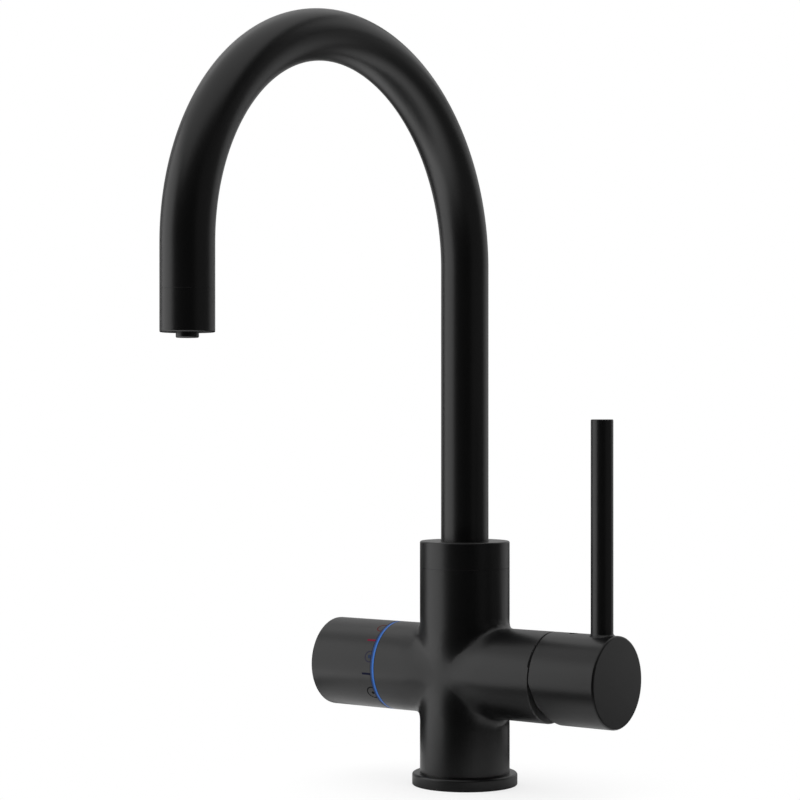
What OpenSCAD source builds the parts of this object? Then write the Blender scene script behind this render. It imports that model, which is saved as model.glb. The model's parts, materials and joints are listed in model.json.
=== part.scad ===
// Kitchen tap with a side mixing lever and a side selector for treated water.
// Millimetres. Origin: centre of the foot on the worktop. +Z is up, the spout points along -Y,
// the lever arm along +X and the selector arm along -X.

/* [Body] */
// Diameter of the column and of both arms
body_d = 48; // [46:0.5:52]
// Height of the arms' axis above the worktop
arm_z = 60.6; // [60:0.2:66]
// Height of the seam between the column and the spout collar
column_top = 115.7; // [115:0.5:125]
// Radius of the blend between the column and the arms
blend_r = 3.5; // [2:0.5:6]
// Distance from the column's axis to the end of the lever arm
lever_arm_end = 55.8; // [55:0.5:62]
// Distance from the column's axis to the end of the selector arm
selector_arm_end = 42.8; // [42:0.5:50]
// Wall of the arms and of the column round their threads
arm_wall = 4; // [3.5:0.25:4.5]

/* [Foot] */
// Diameter of the base flange
flange_d = 56.3; // [55:0.5:64]
// Height of the base flange
flange_h = 6.4; // [5:0.2:9]
// Height of the inlet manifold in the column's foot
manifold_h = 30; // [28:0.5:34]
// Diameter inside the socket's thread for the hollow shank (M33 x 1.5)
socket_d = 31.4; // [28:0.2:32]
// Depth of the shank socket
socket_depth = 12; // [10:0.5:14]
// Number of hose ports in the manifold
hose_ports = 5; // [4:1:6]
// Diameter of the circle on which the hose ports lie
port_circle_d = 21; // [20:0.2:21.4]
// Diameter inside a hose port's thread (M10 x 1)
port_d = 8.92; // [8:0.1:9]
// Depth of a hose port's thread
port_depth = 10; // [8:0.5:12]

/* [Spout] */
// Outer diameter of the spout pipe
pipe_d = 25.4; // [25:0.2:27]
// Wall of the spout pipe
pipe_wall = 1.2; // [1:0.1:1.5]
// Radius of the arch, at the middle of the pipe
bend_r = 109; // [90:1:125]
// Height of the arch's centre
arch_z = 275.5; // [240:0.5:320]
// Drop from the arch's centre to the underside of the outlet
spout_drop = 41; // [36:0.5:70]
// Height of the outlet housing
outlet_h = 19.7; // [18:0.1:22]
// Height of the collar on top of the column
collar_h = 14.3; // [13:0.1:18]
// Thickness of the collar's roof
collar_roof = 4.5; // [3.5:0.25:5]
// Swing of the spout to each side, in degrees
swing = 75; // [45:5:90]
// Outer diameter of the inner water tube
tube_d = 8; // [6:0.5:8]
// Wall of the inner water tube
tube_wall = 1; // [0.8:0.1:1.2]
// Diameter of the nozzle in the outlet
nozzle_d = 10.6; // [10.2:0.1:11.4]
// How far the nozzle stands out of the outlet
nozzle_out = 2.5; // [1:0.25:4]

/* [Lever] */
// Gap between the arm and the lever cap
seam = 0.8; // [0.8:0.1:1.6]
// Length of the lever cap
cap_len = 38.9; // [38:0.5:46]
// Wall of the lever cap
cap_wall = 2.4; // [2:0.1:2.4]
// Slope of the cut at the cap's back, in degrees
cut_angle = 19; // [19:0.5:22]
// Largest tilt of the lever, in degrees
tilt = 18; // [12:0.5:18]
// Diameter of the lever rod
rod_d = 11.6; // [9:0.2:13]
// Distance from the rod's axis to the cap's outer end
rod_inset = 9.4; // [9:0.2:11]
// Height of the rod's top above the worktop
rod_top = 194.9; // [150:1:230]
// Diameter of the grub screws
grub_d = 5; // [4:0.5:5]
// Distance from the cap's back edge to its grub screw
grub_inset = 12.3; // [11.5:0.1:13]

/* [Mixing cartridge] */
// Outer diameter of the cartridge
cartridge_d = 35; // [34:0.5:36]
// Wall of the cartridge case
case_wall = 2; // [1.6:0.1:2.2]
// Distance from the column's axis to the floor of the cartridge chamber
chamber_floor = 16; // [15:0.25:16.5]
// Thickness of the cartridge's base
base_t = 4; // [3.5:0.25:4.5]
// Thickness of each ceramic disc
disc_t = 3.5; // [3:0.1:3.6]
// Diameter of the case's neck
neck_d = 24; // [22:0.5:25]
// Side of the square stem
stem_side = 8; // [6:0.5:8.5]

/* [Selector] */
// Length of the selector knob
knob_len = 41.2; // [38:0.1:48]
// Wall of the selector knob
knob_wall = 2.5; // [2:0.1:3]
// Width of the indicator ring
ring_w = 2.5; // [1.5:0.1:3.5]
// Diameter of the selector valve's thread in the arm
valve_d = 30; // [29:0.5:32]
// Distance from the column's axis to the floor of the valve chamber
valve_floor = 20; // [19:0.25:20.5]
// Diameter of the selector spindle
spindle_d = 10; // [9:0.5:11]

/* [Fits] */
// Clearance of threads, pressed and turned fits, on the radius
fit = 0.05; // [0.03:0.01:0.08]
// Clearance between pieces that move freely past each other
gap = 0.3; // [0.2:0.05:0.4]

/* [Hidden] */
$fn = 96;

// Colours of the finishes
black = [0.09, 0.09, 0.095];
brass = [0.78, 0.62, 0.32];
steel = [0.72, 0.73, 0.74];
rubber = [0.13, 0.13, 0.13];
white_plastic = [0.88, 0.88, 0.85];
grey_plastic = [0.45, 0.47, 0.5];
ceramic = [0.93, 0.92, 0.88];
blue = [0.12, 0.33, 0.75];

// A cut runs this far past the face that it opens
over = 1;
// A pressed pin is drawn this much under its hole, on the radius
press = 0.01;
// Room at the sides of an O-ring in its groove
groove_room = 0.1;
body_r = body_d / 2;
thread_r = body_r - arm_wall;

// Foot
manifold_r = thread_r - fit;
flange_edge = 1.2;
flange_foot_edge = 0.5;
base_seal_w = 3;
base_seal_h = 2;
base_seal_in = (thread_r + flange_d / 2 - base_seal_w) / 2;
port_circle_r = port_circle_d / 2;
port_step = 360 / hose_ports;
waterway_r = 2.8;
manifold_seal_t = 1.3;
manifold_seal_inset = 4;
manifold_seal_z = manifold_h - manifold_seal_inset;

// Waterways in the casting: an upright drilling is wider than the cross drilling that it meets
riser_extra = 0.2;
riser_end = 0.4;
mixed_riser_gap = 5.5;

// Column top and swivel
collar_edge = 0.8;
neck_gap = 0.5;
swivel_share = 0.712;
swivel_depth = 15.7;
collar_top = column_top + collar_h;
roof_z = collar_top - collar_roof;
neck_top = roof_z - neck_gap;
pipe_r = pipe_d / 2;
pipe_in = pipe_r - pipe_wall;
swivel_r = pipe_r + swivel_share * (thread_r - pipe_r);
swivel_floor = column_top - swivel_depth;
washer_t = 1.5;
spigot_flange_h = 5.5;
pipe_z0 = swivel_floor + washer_t + spigot_flange_h;
spigot_step = 0.3;
spigot_wall = 2.5;
spigot_r = pipe_r + spigot_step;
spigot_bore_r = pipe_in - spigot_wall;
spigot_len = 16;
spigot_sleeve = 18;
spigot_room = 2;
spigot_z0 = swivel_floor - spigot_len;
spigot_ring_t = 1.2;
spigot_ring_inset = 4;
spigot_ring_step = 6.5;
spigot_ring_z = [for (i = [0, 1]) spigot_z0 + spigot_ring_inset + i * spigot_ring_step];
stop_r = (spigot_r + swivel_r) / 2;
stop_pin_r = 1.2;
stop_pin_seat = 6;
stop_slot_h = 3.5;
stop_play = 0.15;
tube_r = tube_d / 2;
tube_seat = 7;
tube_room = 0.5;
tube_z0 = spigot_z0 - tube_seat;
tube_seal_z = spigot_z0 - tube_seat / 2;
tube_seal_t = 0.9;

// Spout end
outlet_edge = 0.6;
insert_inset = 0.8;
insert_h = 8;
insert_step = 0.3;
housing_wall = 2;
housing_sleeve = 8;
outlet_washer_t = 1.5;
tip_z = arch_z - spout_drop;
seam_z = tip_z + outlet_h;
nozzle_r = nozzle_d / 2;
nozzle_rim_w = 1.2;
nozzle_rim_h = 2;
nozzle_neck = 6;
tube_plug = 4;
insert_z0 = tip_z + insert_inset;
insert_z1 = insert_z0 + insert_h;
insert_r = pipe_in - insert_step;
housing_step = insert_z1 + outlet_washer_t;
housing_bore_r = pipe_in - housing_wall;
jet_r = 0.7;
jet_land = 2;
jet_rows = [[nozzle_r + jet_land, 16], [insert_r - jet_land, 22]];

// Mixing cartridge, measured outwards from the column's axis
case_roof_t = 3;
neck_len = 6;
neck_wall_t = 3.1;
carrier_t = 6.5;
rotor_h = 9.2;
rotor_inset = 0.5;
pivot_inset = 3.5;
slide_room = 3.5;
pocket_rim = 3.5;
rail_inset = 2;
rail_foot = 1;
cartridge_r = cartridge_d / 2;
case_in = cartridge_r - case_wall;
disc_s = chamber_floor + base_t;
slide_disc_s = disc_s + disc_t;
carrier_s = slide_disc_s + disc_t;
rotor_s = carrier_s + carrier_t + gap;
case_roof_s = rotor_s + rotor_h;
case_top_s = case_roof_s + case_roof_t;
neck_r = neck_d / 2;
rotor_neck_r = neck_r - neck_wall_t;
rotor_top_s = case_top_s + neck_len - rotor_inset;
pivot_s = rotor_top_s - pivot_inset;
slide_disc_r = case_in - slide_room;
ball_r = 2.8;
ball_play = 0.2;
ball_floor = 0.5;
ball_s = carrier_s + ball_floor + ball_r;
ball_arm = pivot_s - ball_s;
slide = ball_arm * sin(tilt);
slide_rest = slide / 2;
rail_y = slide_disc_r - rail_inset;
stem_neck_r = 2;
stem_wide = 6;
stem_block = 16;
stem_head = 5;
stem_play = 0.1;
pin_r = 1.5;
pin_inset = 0.4;
pin_len = 2 * (rotor_neck_r - pin_inset);
inlet_y = port_circle_r * sin(port_step / 2);
inlet_x = -5;
outlet_x = 6.5;
port_seal_t = 0.78;
port_seal_land = 0.3;
port_seal_play = 0.02;
port_seal_r = waterway_r + port_seal_land + port_seal_t;

// Ring nut, dome and lever cap
thread_run = 2;
nut_inset = 0.4;
nut_hex_h = 2;
nut_hex_inset = 3;
cap_edge = 0.7;
cap_solid = 19.5;
socket_floor = 1.8;
dome_gap = 0.6;
dome_t = 1.5;
dome_hole_gap = 0.4;
boss_wall = 2.3;
boss_inset = 5.4;
grub_len = 12;
key_depth = 2.5;
pillar_wall = 1.6;
rod_edge = 0.6;
rod_pocket = 2.5;
rod_stud_r = 4;
rod_stud_len = 15;
nut_top_s = lever_arm_end - nut_inset;
nut_hex_r = thread_r - nut_hex_inset;
cap_s = lever_arm_end + seam;
cap_end_s = cap_s + cap_len;
cap_in = body_r - cap_wall;
dome_r = cap_in - dome_gap;
boss_r = stem_side * sqrt(2) / 2 + boss_wall;
boss_s = cap_s + boss_inset;
hub_s = cap_end_s - cap_solid;
socket_end_s = hub_s - socket_floor;
dome_hole_r = dome_r * sin(tilt + asin(boss_r / (dome_r - dome_t))) + dome_hole_gap;
dome_top_s = pivot_s + sqrt(dome_r * dome_r - dome_hole_r * dome_hole_r);
grub_s = cap_s + grub_inset;
grub_r = grub_d / 2;
pillar_r = grub_r + pillar_wall;
rod_r = rod_d / 2;
rod_s = cap_end_s - rod_inset;
rod_seat = body_r - rod_pocket;

// Selector valve and knob, measured outwards from the column's axis
gasket_t = 1.2;
spindle_flange_t = 3.6;
spindle_flat = 0.7;
spindle_ring_t = 0.65;
spindle_ring_inset = 5;
bonnet_wall = 2;
bonnet_rim = 3.5;
bonnet_hex_h = 3.8;
bonnet_neck = 6;
bonnet_neck_wall = 4;
circlip_t = 1;
circlip_w = 2.75;
circlip_seat = 0.6;
circlip_play = 0.05;
circlip_inset = 0.2;
circlip_opening = 3.6;
knob_edge = 1;
knob_end_wall = 5;
knob_hub_wall = 3.5;
knob_hub_play = 1;
knob_grub_r = 2;
knob_grub_out = 0.5;
flat_inset = 4;
spindle_inset = 7;
valve_port_r = 2;
valve_port_rim = 0.2;
valve_port_land = 0.6;
selector_outlet_x = 6;
valve_r = valve_d / 2;
valve_disc_s = valve_floor + gasket_t;
turn_disc_s = valve_disc_s + disc_t;
spindle_s = turn_disc_s + disc_t;
valve_disc_r = valve_r - bonnet_wall;
valve_port_circle = valve_disc_r - valve_port_r - valve_port_land;
bonnet_roof_s = spindle_s + spindle_flange_t + gap;
spindle_ring_s = bonnet_roof_s + spindle_ring_inset;
ring_end_s = selector_arm_end + ring_w;
bonnet_hex_s = ring_end_s + bonnet_hex_h;
bonnet_hex_r = valve_r + bonnet_rim;
bonnet_end_s = bonnet_hex_s + bonnet_neck;
circlip_s = bonnet_end_s + circlip_inset;
circlip_end_s = circlip_s + circlip_t + 2 * circlip_play;
spindle_r = spindle_d / 2;
knob_s = ring_end_s + gap;
knob_end_s = knob_s + knob_len;
knob_in = body_r - knob_wall;
knob_floor_s = knob_end_s - knob_end_wall;
hub_r = spindle_r + knob_hub_wall;
flat_s = bonnet_end_s + flat_inset;
knob_hub_s = flat_s + knob_hub_play;
spindle_end_s = knob_floor_s - spindle_inset;
knob_grub_s = (knob_hub_s + spindle_end_s) / 2;

// Blended cross of the column and the arms
blend_steps = 5;
half_turn_steps = 48;
blend_ends = [column_top - arm_z, lever_arm_end, arm_z - flange_h, selector_arm_end];

// A point of one branch of the cross, whose axis is turned by q from +Z towards +X
function turned(p, q) =
    let (x = p.x * cos(q) + p.z * sin(q), z = p.z * cos(q) - p.x * sin(q))
    [for (c = [x, p.y, z + arm_z]) round(c * 1e6) / 1e6];

// Point at angle a of the line where the blend leaves a branch
function blend_line(a) = [body_r * cos(a), body_r * sin(a), (body_r + blend_r) * abs(cos(a))];

// Point of the blend: a ball of radius blend_r rolls between two branches of the same radius
function blend_point(a, t) =
    t == 0 ? [body_r * cos(a), body_r * sin(a), (body_r + blend_r) * cos(a)] :
    t == 1 ? [(body_r + blend_r) * cos(a), body_r * sin(a), body_r * cos(a)] :
    let (
        centre = (body_r + blend_r) * [cos(a), sin(a), cos(a)],
        span = acos(sin(a) * sin(a)),
        to_first = [-cos(a), -sin(a), 0],
        to_second = [0, -sin(a), -cos(a)]
    )
    centre + blend_r * (sin((1 - t) * span) * to_first + sin(t * span) * to_second) / sin(span);

// Triangles of one branch's wall and end
function branch_faces(q, end) =
    let (step = 180 / half_turn_steps)
    [for (a = [0:step:360 - step / 2])
        let (
            low0 = turned(blend_line(a), q),
            low1 = turned(blend_line(a + step), q),
            high0 = turned([body_r * cos(a), body_r * sin(a), end], q),
            high1 = turned([body_r * cos(a + step), body_r * sin(a + step), end], q),
            middle = turned([0, 0, end], q)
        )
        each [[low0, high0, high1], [low0, high1, low1], [middle, high1, high0]]
    ];

// Triangles of the blend between the branches at q and q + 90
function blend_faces(q) =
    let (step = 180 / half_turn_steps, last = half_turn_steps - 1)
    [for (i = [0:last], j = [0:blend_steps - 1])
        let (
            a0 = -90 + i * step,
            a1 = a0 + step,
            t0 = j / blend_steps,
            t1 = (j + 1) / blend_steps,
            p00 = turned(i == 0 ? [0, -body_r, 0] : blend_point(a0, t0), q),
            p01 = turned(i == 0 ? [0, -body_r, 0] : blend_point(a0, t1), q),
            p10 = turned(i == last ? [0, body_r, 0] : blend_point(a1, t0), q),
            p11 = turned(i == last ? [0, body_r, 0] : blend_point(a1, t1), q)
        )
        each [if (i < last) [p00, p10, p11], if (i > 0) [p00, p11, p01]]
    ];

// Column and arms as one body with rolled blends where they cross
module blended_cross() {
    faces = [for (k = [0:3]) each concat(branch_faces(90 * k, blend_ends[k]), blend_faces(90 * k))];
    polyhedron(
        points = [for (f = faces) each f],
        faces = [for (i = [0:len(faces) - 1]) [3 * i, 3 * i + 1, 3 * i + 2]],
        convexity = 6
    );
}

// Frames of the arms: x points up and z outwards along the arm
module lever_side() {
    translate([0, 0, arm_z]) rotate([0, 90, 0]) rotate([0, 0, 180]) children();
}

module selector_side() {
    translate([0, 0, arm_z]) rotate([0, -90, 0]) children();
}

// Round bar from z0 to z1
module bar(r, z0, z1) {
    translate([0, 0, z0]) cylinder(r = r, h = z1 - z0);
}

// Round ring from z0 to z1
module ring(r_out, r_in, z0, z1) {
    difference() {
        bar(r_out, z0, z1);
        bar(r_in, z0 - over, z1 + over);
    }
}

// Half section of a ring with its outer edges rounded: e0 at the lower one, e1 at the upper one
module ring_section(r_out, r_in, h, e0, e1) {
    difference() {
        translate([r_in, 0]) square([r_out - r_in, h]);
        if (e0 > 0) edge_cut(r_out, 0, e0, 1);
        if (e1 > 0) edge_cut(r_out, h, e1, -1);
    }
}

// What an edge of radius e takes off the corner at radius r and height h; up is 1 at a lower corner
module edge_cut(r, h, e, up) {
    difference() {
        translate([r - e, min(h, h + up * e)]) square([e + over, e]);
        translate([r - e, h + up * e]) circle(r = e);
    }
}

module rounded_ring(r_out, r_in, z0, z1, e0, e1) {
    translate([0, 0, z0]) rotate_extrude() ring_section(r_out, r_in, z1 - z0, e0, e1);
}

// Rubber ring of section radius t whose middle line has radius r
module o_ring(r, t) {
    color(rubber) rotate_extrude() translate([r, 0]) circle(r = t, $fn = 32);
}

// Rubber ring at height z in the groove of a shaft of radius r, and its groove
module shaft_seal(r, t, z) {
    translate([0, 0, z]) o_ring(r - t + fit / 2, t - fit / 2);
}

module shaft_groove(r, t, z) {
    ring(r + over, r - 2 * t, z - t - groove_room, z + t + groove_room);
}

// Sweep of a round section of radius r along the spout's line, from height z0 to the arch and down to z1
module spout_sweep(r, z0, z1) {
    bar(r, z0, arch_z);
    translate([0, -bend_r, arch_z]) rotate([90, 0, 90])
        rotate_extrude(angle = 180) translate([bend_r, 0]) circle(r = r);
    translate([0, -2 * bend_r, 0]) bar(r, z1, arch_z);
}

// Position of hose port number i
function port_at(i) = port_circle_r * [cos((i + 0.5) * port_step), sin((i + 0.5) * port_step)];
function is_mixed(i) = port_at(i).x > port_circle_r / 2;
// Height of a treated water port at offset y, measured from the arm's axis
function valve_port_x(y) = -sqrt(max(0, valve_port_circle * valve_port_circle - y * y));

// Waterways between the manifold, the two chambers and the spout
module waterways() {
    for (i = [0:hose_ports - 1]) {
        mixed = is_mixed(i);
        y = port_at(i).y;
        up = mixed ? inlet_x : valve_port_x(y);
        r = mixed ? waterway_r : valve_port_r;
        translate([port_at(i).x, y, 0]) bar(r + riser_extra, manifold_h - over, arm_z + up + r + riser_end);
        translate([port_at(i).x, y, arm_z + up]) rotate([0, mixed ? 90 : -90, 0])
            bar(r, 0, (mixed ? chamber_floor : valve_floor) - abs(port_at(i).x) + over);
    }
    // Mixed water: from the cartridge up to the spout
    riser_x = tube_r + mixed_riser_gap;
    lever_side() translate([outlet_x, 0, 0]) bar(waterway_r, riser_x, chamber_floor + over);
    translate([riser_x, 0, 0])
        bar(waterway_r + riser_extra, arm_z + outlet_x - waterway_r - riser_end, spigot_z0);
    // Treated water: from the selector up to the inner tube
    selector_side() translate([selector_outlet_x, 0, 0]) bar(valve_port_r, 0, valve_floor + over);
    bar(valve_port_r + riser_extra, arm_z + selector_outlet_x - valve_port_r - riser_end, spigot_z0);
}

// Groove of radius r and half height t for the seal of the inner tube
module tube_groove(r, t) {
    bar(r, tube_seal_z - t, tube_seal_z + t);
}

module body_casting() {
    color(black) difference() {
        union() {
            blended_cross();
            bar(thread_r, column_top - over, neck_top);
        }
        bar(thread_r, flange_h - over, manifold_h);
        bar(swivel_r, swivel_floor, neck_top + over);
        bar(spigot_r + fit, spigot_z0 - spigot_room, swivel_floor + over);
        bar(tube_r + fit, tube_z0 - tube_room, spigot_z0);
        tube_groove(tube_r + 2 * tube_seal_t + groove_room, tube_seal_t + groove_room);
        translate([0, stop_r, 0]) bar(stop_pin_r, swivel_floor - stop_pin_seat, swivel_floor + over);
        lever_side() {
            bar(cartridge_r + fit, chamber_floor, lever_arm_end);
            bar(thread_r, case_top_s - thread_run, lever_arm_end + over);
        }
        selector_side() bar(valve_r, valve_floor, selector_arm_end + over);
        waterways();
    }
}

module base_flange() {
    color(black) difference() {
        rounded_ring(flange_d / 2, thread_r + gap / 2, 0, flange_h, flange_foot_edge, flange_edge);
        ring(base_seal_in + base_seal_w, base_seal_in, -over, base_seal_h);
    }
}

module base_seal() {
    color(rubber) ring(base_seal_in + base_seal_w - fit, base_seal_in + fit, 0, base_seal_h);
}

module inlet_manifold() {
    color(brass) difference() {
        bar(manifold_r, 0, manifold_h);
        bar(socket_d / 2, -over, socket_depth);
        for (i = [0:hose_ports - 1]) translate(port_at(i)) {
            bar(port_d / 2, socket_depth - over, socket_depth + port_depth);
            bar(waterway_r, socket_depth, manifold_h + over);
        }
        shaft_groove(manifold_r, manifold_seal_t, manifold_seal_z);
    }
}

module manifold_seal() {
    shaft_seal(manifold_r, manifold_seal_t, manifold_seal_z);
}

module spout_collar() {
    color(black) difference() {
        rounded_ring(body_r, pipe_r + gap, column_top, collar_top, 0, collar_edge);
        bar(thread_r + fit, column_top - over, roof_z);
    }
}

module swivel_bush() {
    color(white_plastic) ring(swivel_r - fit, pipe_r + fit, pipe_z0, roof_z);
}

module thrust_washer() {
    color(white_plastic) difference() {
        ring(swivel_r - fit, spigot_r + 2 * fit, swivel_floor, swivel_floor + washer_t);
        translate([0, stop_r, 0])
            bar(stop_pin_r + fit, swivel_floor - over, swivel_floor + washer_t + over);
    }
}

module swivel_stop_pin() {
    top = swivel_floor + washer_t + stop_slot_h - stop_play;
    color(steel) translate([0, stop_r, 0]) bar(stop_pin_r - press, swivel_floor - stop_pin_seat, top);
}

module tube_seal() {
    translate([0, 0, tube_seal_z]) o_ring(tube_r + tube_seal_t + fit, tube_seal_t);
}

module spout_spigot() {
    flange_z = swivel_floor + washer_t;
    slot_half = swing + asin((stop_pin_r + stop_play) / stop_r);
    sleeve_end = pipe_z0 + spigot_sleeve;
    color(brass) difference() {
        union() {
            bar(spigot_r, spigot_z0, flange_z);
            bar(swivel_r - 2 * fit, flange_z, pipe_z0);
            bar(pipe_in - fit, pipe_z0, sleeve_end);
        }
        bar(spigot_bore_r, spigot_z0 - over, sleeve_end + over);
        for (z = spigot_ring_z) shaft_groove(spigot_r, spigot_ring_t, z);
        translate([0, 0, flange_z - over]) rotate([0, 0, 90 - slot_half])
            rotate_extrude(angle = 2 * slot_half)
                translate([stop_r - stop_pin_r - stop_play, 0])
                    square([2 * (stop_pin_r + stop_play), stop_slot_h + over]);
    }
}

module spigot_o_rings() {
    for (z = spigot_ring_z) shaft_seal(spigot_r, spigot_ring_t, z);
}

module spout_tube() {
    color(black) difference() {
        spout_sweep(pipe_r, pipe_z0, seam_z);
        spout_sweep(pipe_in, pipe_z0 - over, seam_z - over);
    }
}

module inner_water_tube() {
    color(white_plastic) difference() {
        spout_sweep(tube_r, tube_z0, insert_z1 - tube_plug);
        spout_sweep(tube_r - tube_wall, tube_z0 - over, insert_z1 - tube_plug - over);
    }
}

// Frame of the spout's downward end
module at_tip() {
    translate([0, -2 * bend_r, 0]) children();
}

module outlet_housing() {
    color(black) at_tip() difference() {
        union() {
            rounded_ring(pipe_r, housing_bore_r, tip_z, seam_z, outlet_edge, 0);
            ring(pipe_in - fit, housing_bore_r, seam_z - over, seam_z + housing_sleeve);
        }
        bar(insert_r + fit, tip_z - over, housing_step);
    }
}

module flow_insert() {
    color(grey_plastic) at_tip() difference() {
        ring(insert_r, nozzle_r + fit, insert_z0, insert_z1);
        for (row = jet_rows, i = [0:row[1] - 1]) rotate([0, 0, i * 360 / row[1]])
            translate([row[0], 0, 0]) bar(jet_r, insert_z0 - over, insert_z1 + over);
    }
}

module outlet_washer() {
    color(rubber) at_tip() ring(insert_r - fit, housing_bore_r, insert_z1, housing_step);
}

module outlet_nozzle() {
    top = insert_z1 + nozzle_neck;
    color(black) at_tip() difference() {
        union() {
            rounded_ring(nozzle_r, tube_r - tube_wall, tip_z - nozzle_out, top, outlet_edge, 0);
            ring(nozzle_r + nozzle_rim_w, nozzle_r - over, insert_z1, insert_z1 + nozzle_rim_h);
        }
        bar(tube_r + fit, insert_z1 - tube_plug, top + over);
    }
}

// Ports of the cartridge, at their places on the chamber floor
module at_mixed_ports() {
    for (p = [[inlet_x, inlet_y], [inlet_x, -inlet_y], [outlet_x, 0]]) translate(p) children();
}

module cartridge_base() {
    color(grey_plastic) lever_side() difference() {
        bar(cartridge_r, chamber_floor, disc_s);
        at_mixed_ports() {
            bar(waterway_r, chamber_floor - over, disc_s + over);
            bar(port_seal_r + port_seal_t + groove_room, chamber_floor - over,
                chamber_floor + 2 * (port_seal_t + port_seal_play));
        }
    }
}

module port_seals() {
    lever_side() at_mixed_ports() translate([0, 0, chamber_floor + port_seal_t + port_seal_play])
        o_ring(port_seal_r, port_seal_t);
}

module cartridge_case() {
    color(grey_plastic) lever_side() difference() {
        union() {
            bar(cartridge_r, disc_s, case_top_s);
            bar(neck_r, case_top_s - over, case_top_s + neck_len);
        }
        bar(case_in, disc_s - over, case_roof_s);
        bar(rotor_neck_r + 2 * fit, case_roof_s - over, case_top_s + neck_len + over);
    }
}

module fixed_disc() {
    color(ceramic) lever_side() difference() {
        bar(case_in - 2 * fit, disc_s, slide_disc_s);
        at_mixed_ports() bar(waterway_r, disc_s - over, slide_disc_s + over);
    }
}

module cartridge_nut() {
    color(brass) lever_side() difference() {
        union() {
            bar(thread_r - fit, case_top_s, nut_top_s);
            translate([0, 0, nut_top_s - over]) cylinder(r = nut_hex_r, h = nut_hex_h + over, $fn = 6);
        }
        bar(neck_r + 2 * fit, case_top_s - over, nut_top_s + nut_hex_h + over);
    }
}

module cover_dome() {
    color(black) lever_side() difference() {
        intersection() {
            translate([0, 0, pivot_s]) sphere(r = dome_r);
            bar(dome_r + over, nut_top_s, dome_top_s);
        }
        translate([0, 0, pivot_s]) sphere(r = dome_r - dome_t);
        bar(dome_hole_r, pivot_s, dome_top_s + over);
    }
}

module cartridge_rotor() {
    side = stem_wide / 2 + gap;
    inner_swing = ball_arm * tan(tilt) + stem_neck_r / cos(tilt) + gap;
    outer_swing = (rotor_top_s - pivot_s) * tan(tilt) + stem_wide / 2 / cos(tilt) + gap;
    color(white_plastic) lever_side() difference() {
        union() {
            bar(case_in - 2 * fit, rotor_s, case_roof_s - fit);
            bar(rotor_neck_r, case_roof_s - over, rotor_top_s);
            // Rails on which the disc carrier slides
            difference() {
                bar(case_in - 2 * fit, carrier_s + rail_foot, rotor_s + over);
                translate([-cartridge_r, -rail_y - 2 * fit, carrier_s])
                    cube([cartridge_d, 2 * rail_y + 4 * fit, rotor_s - carrier_s]);
            }
        }
        // Slot for the stem, wider on the side to which each half swings
        translate([-side, -stem_wide / 2 - 2 * fit, carrier_s])
            cube([side + inner_swing, stem_wide + 4 * fit, pivot_s - carrier_s]);
        translate([-outer_swing, -stem_wide / 2 - 2 * fit, pivot_s - over])
            cube([outer_swing + side, stem_wide + 4 * fit, rotor_top_s - pivot_s + 2 * over]);
        translate([0, 0, pivot_s]) rotate([90, 0, 0]) bar(pin_r, -neck_r, neck_r);
    }
}

module stem_pin() {
    color(steel) lever_side() translate([0, 0, pivot_s]) rotate([90, 0, 0])
        bar(pin_r - press, -pin_len / 2, pin_len / 2);
}

module moving_disc() {
    color(ceramic) lever_side() translate([-slide_rest, 0, 0]) difference() {
        bar(slide_disc_r, slide_disc_s, carrier_s);
        // Mixing pocket that joins the inlets with the outlet
        bar(slide_disc_r - pocket_rim, slide_disc_s - over, slide_disc_s + disc_t / 2);
    }
}

module disc_carrier() {
    color(grey_plastic) lever_side() difference() {
        intersection() {
            translate([-slide_rest, 0, 0]) bar(slide_disc_r, carrier_s, carrier_s + carrier_t);
            translate([-cartridge_d, -rail_y, carrier_s]) cube([2 * cartridge_d, 2 * rail_y, carrier_t]);
        }
        bar(ball_r + ball_play, carrier_s + ball_floor - ball_play, carrier_s + carrier_t + over);
    }
}

module lever_stem() {
    side = stem_side / 2;
    color(steel) lever_side() difference() {
        union() {
            translate([0, 0, ball_s]) sphere(r = ball_r);
            bar(stem_neck_r, ball_s, pivot_s - stem_block / 2 + over);
            translate([-stem_wide / 2, -stem_wide / 2, pivot_s - stem_block / 2])
                cube([stem_wide, stem_wide, stem_block]);
            translate([-side, -side, pivot_s + stem_head])
                cube([stem_side, stem_side, socket_end_s - 2 * stem_play - pivot_s - stem_head]);
        }
        translate([0, 0, pivot_s]) rotate([90, 0, 0]) bar(pin_r + fit, -neck_r, neck_r);
    }
}

module lever_cap() {
    slope = tan(cut_angle);
    hole = stem_side / 2 + stem_play;
    color(black) lever_side() difference() {
        union() {
            difference() {
                rounded_ring(body_r, 0, cap_s, cap_end_s, 0, cap_edge);
                bar(cap_in, cap_s - over, hub_s);
                // Slanting cut that lets the lever tilt
                rotate([90, 0, 0]) translate([0, 0, -body_d])
                    linear_extrude(2 * body_d)
                        polygon([[0, cap_s], [-body_d, cap_s + body_d * slope], [-body_d, cap_s - over],
                                 [0, cap_s - over]]);
            }
            bar(boss_r, boss_s, hub_s + over);
            translate([0, 0, grub_s]) rotate([0, 90, 0]) bar(pillar_r, hole, cap_in + over);
        }
        translate([-hole, -hole, boss_s - over]) cube([2 * hole, 2 * hole, socket_end_s - boss_s + over]);
        translate([0, 0, grub_s]) rotate([0, 90, 0]) bar(grub_r, 0, body_r + over);
        translate([0, 0, rod_s]) rotate([0, 90, 0]) {
            bar(rod_r + gap, rod_seat, body_r + over);
            bar(rod_stud_r, rod_seat - rod_stud_len - over, rod_seat + over);
        }
    }
}

module lever_rod() {
    color(black) lever_side() translate([0, 0, rod_s]) rotate([0, 90, 0]) {
        rounded_ring(rod_r, 0, rod_seat, rod_top - arm_z, 0, rod_edge);
        bar(rod_stud_r - fit, rod_seat - rod_stud_len, rod_seat + over);
    }
}

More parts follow.
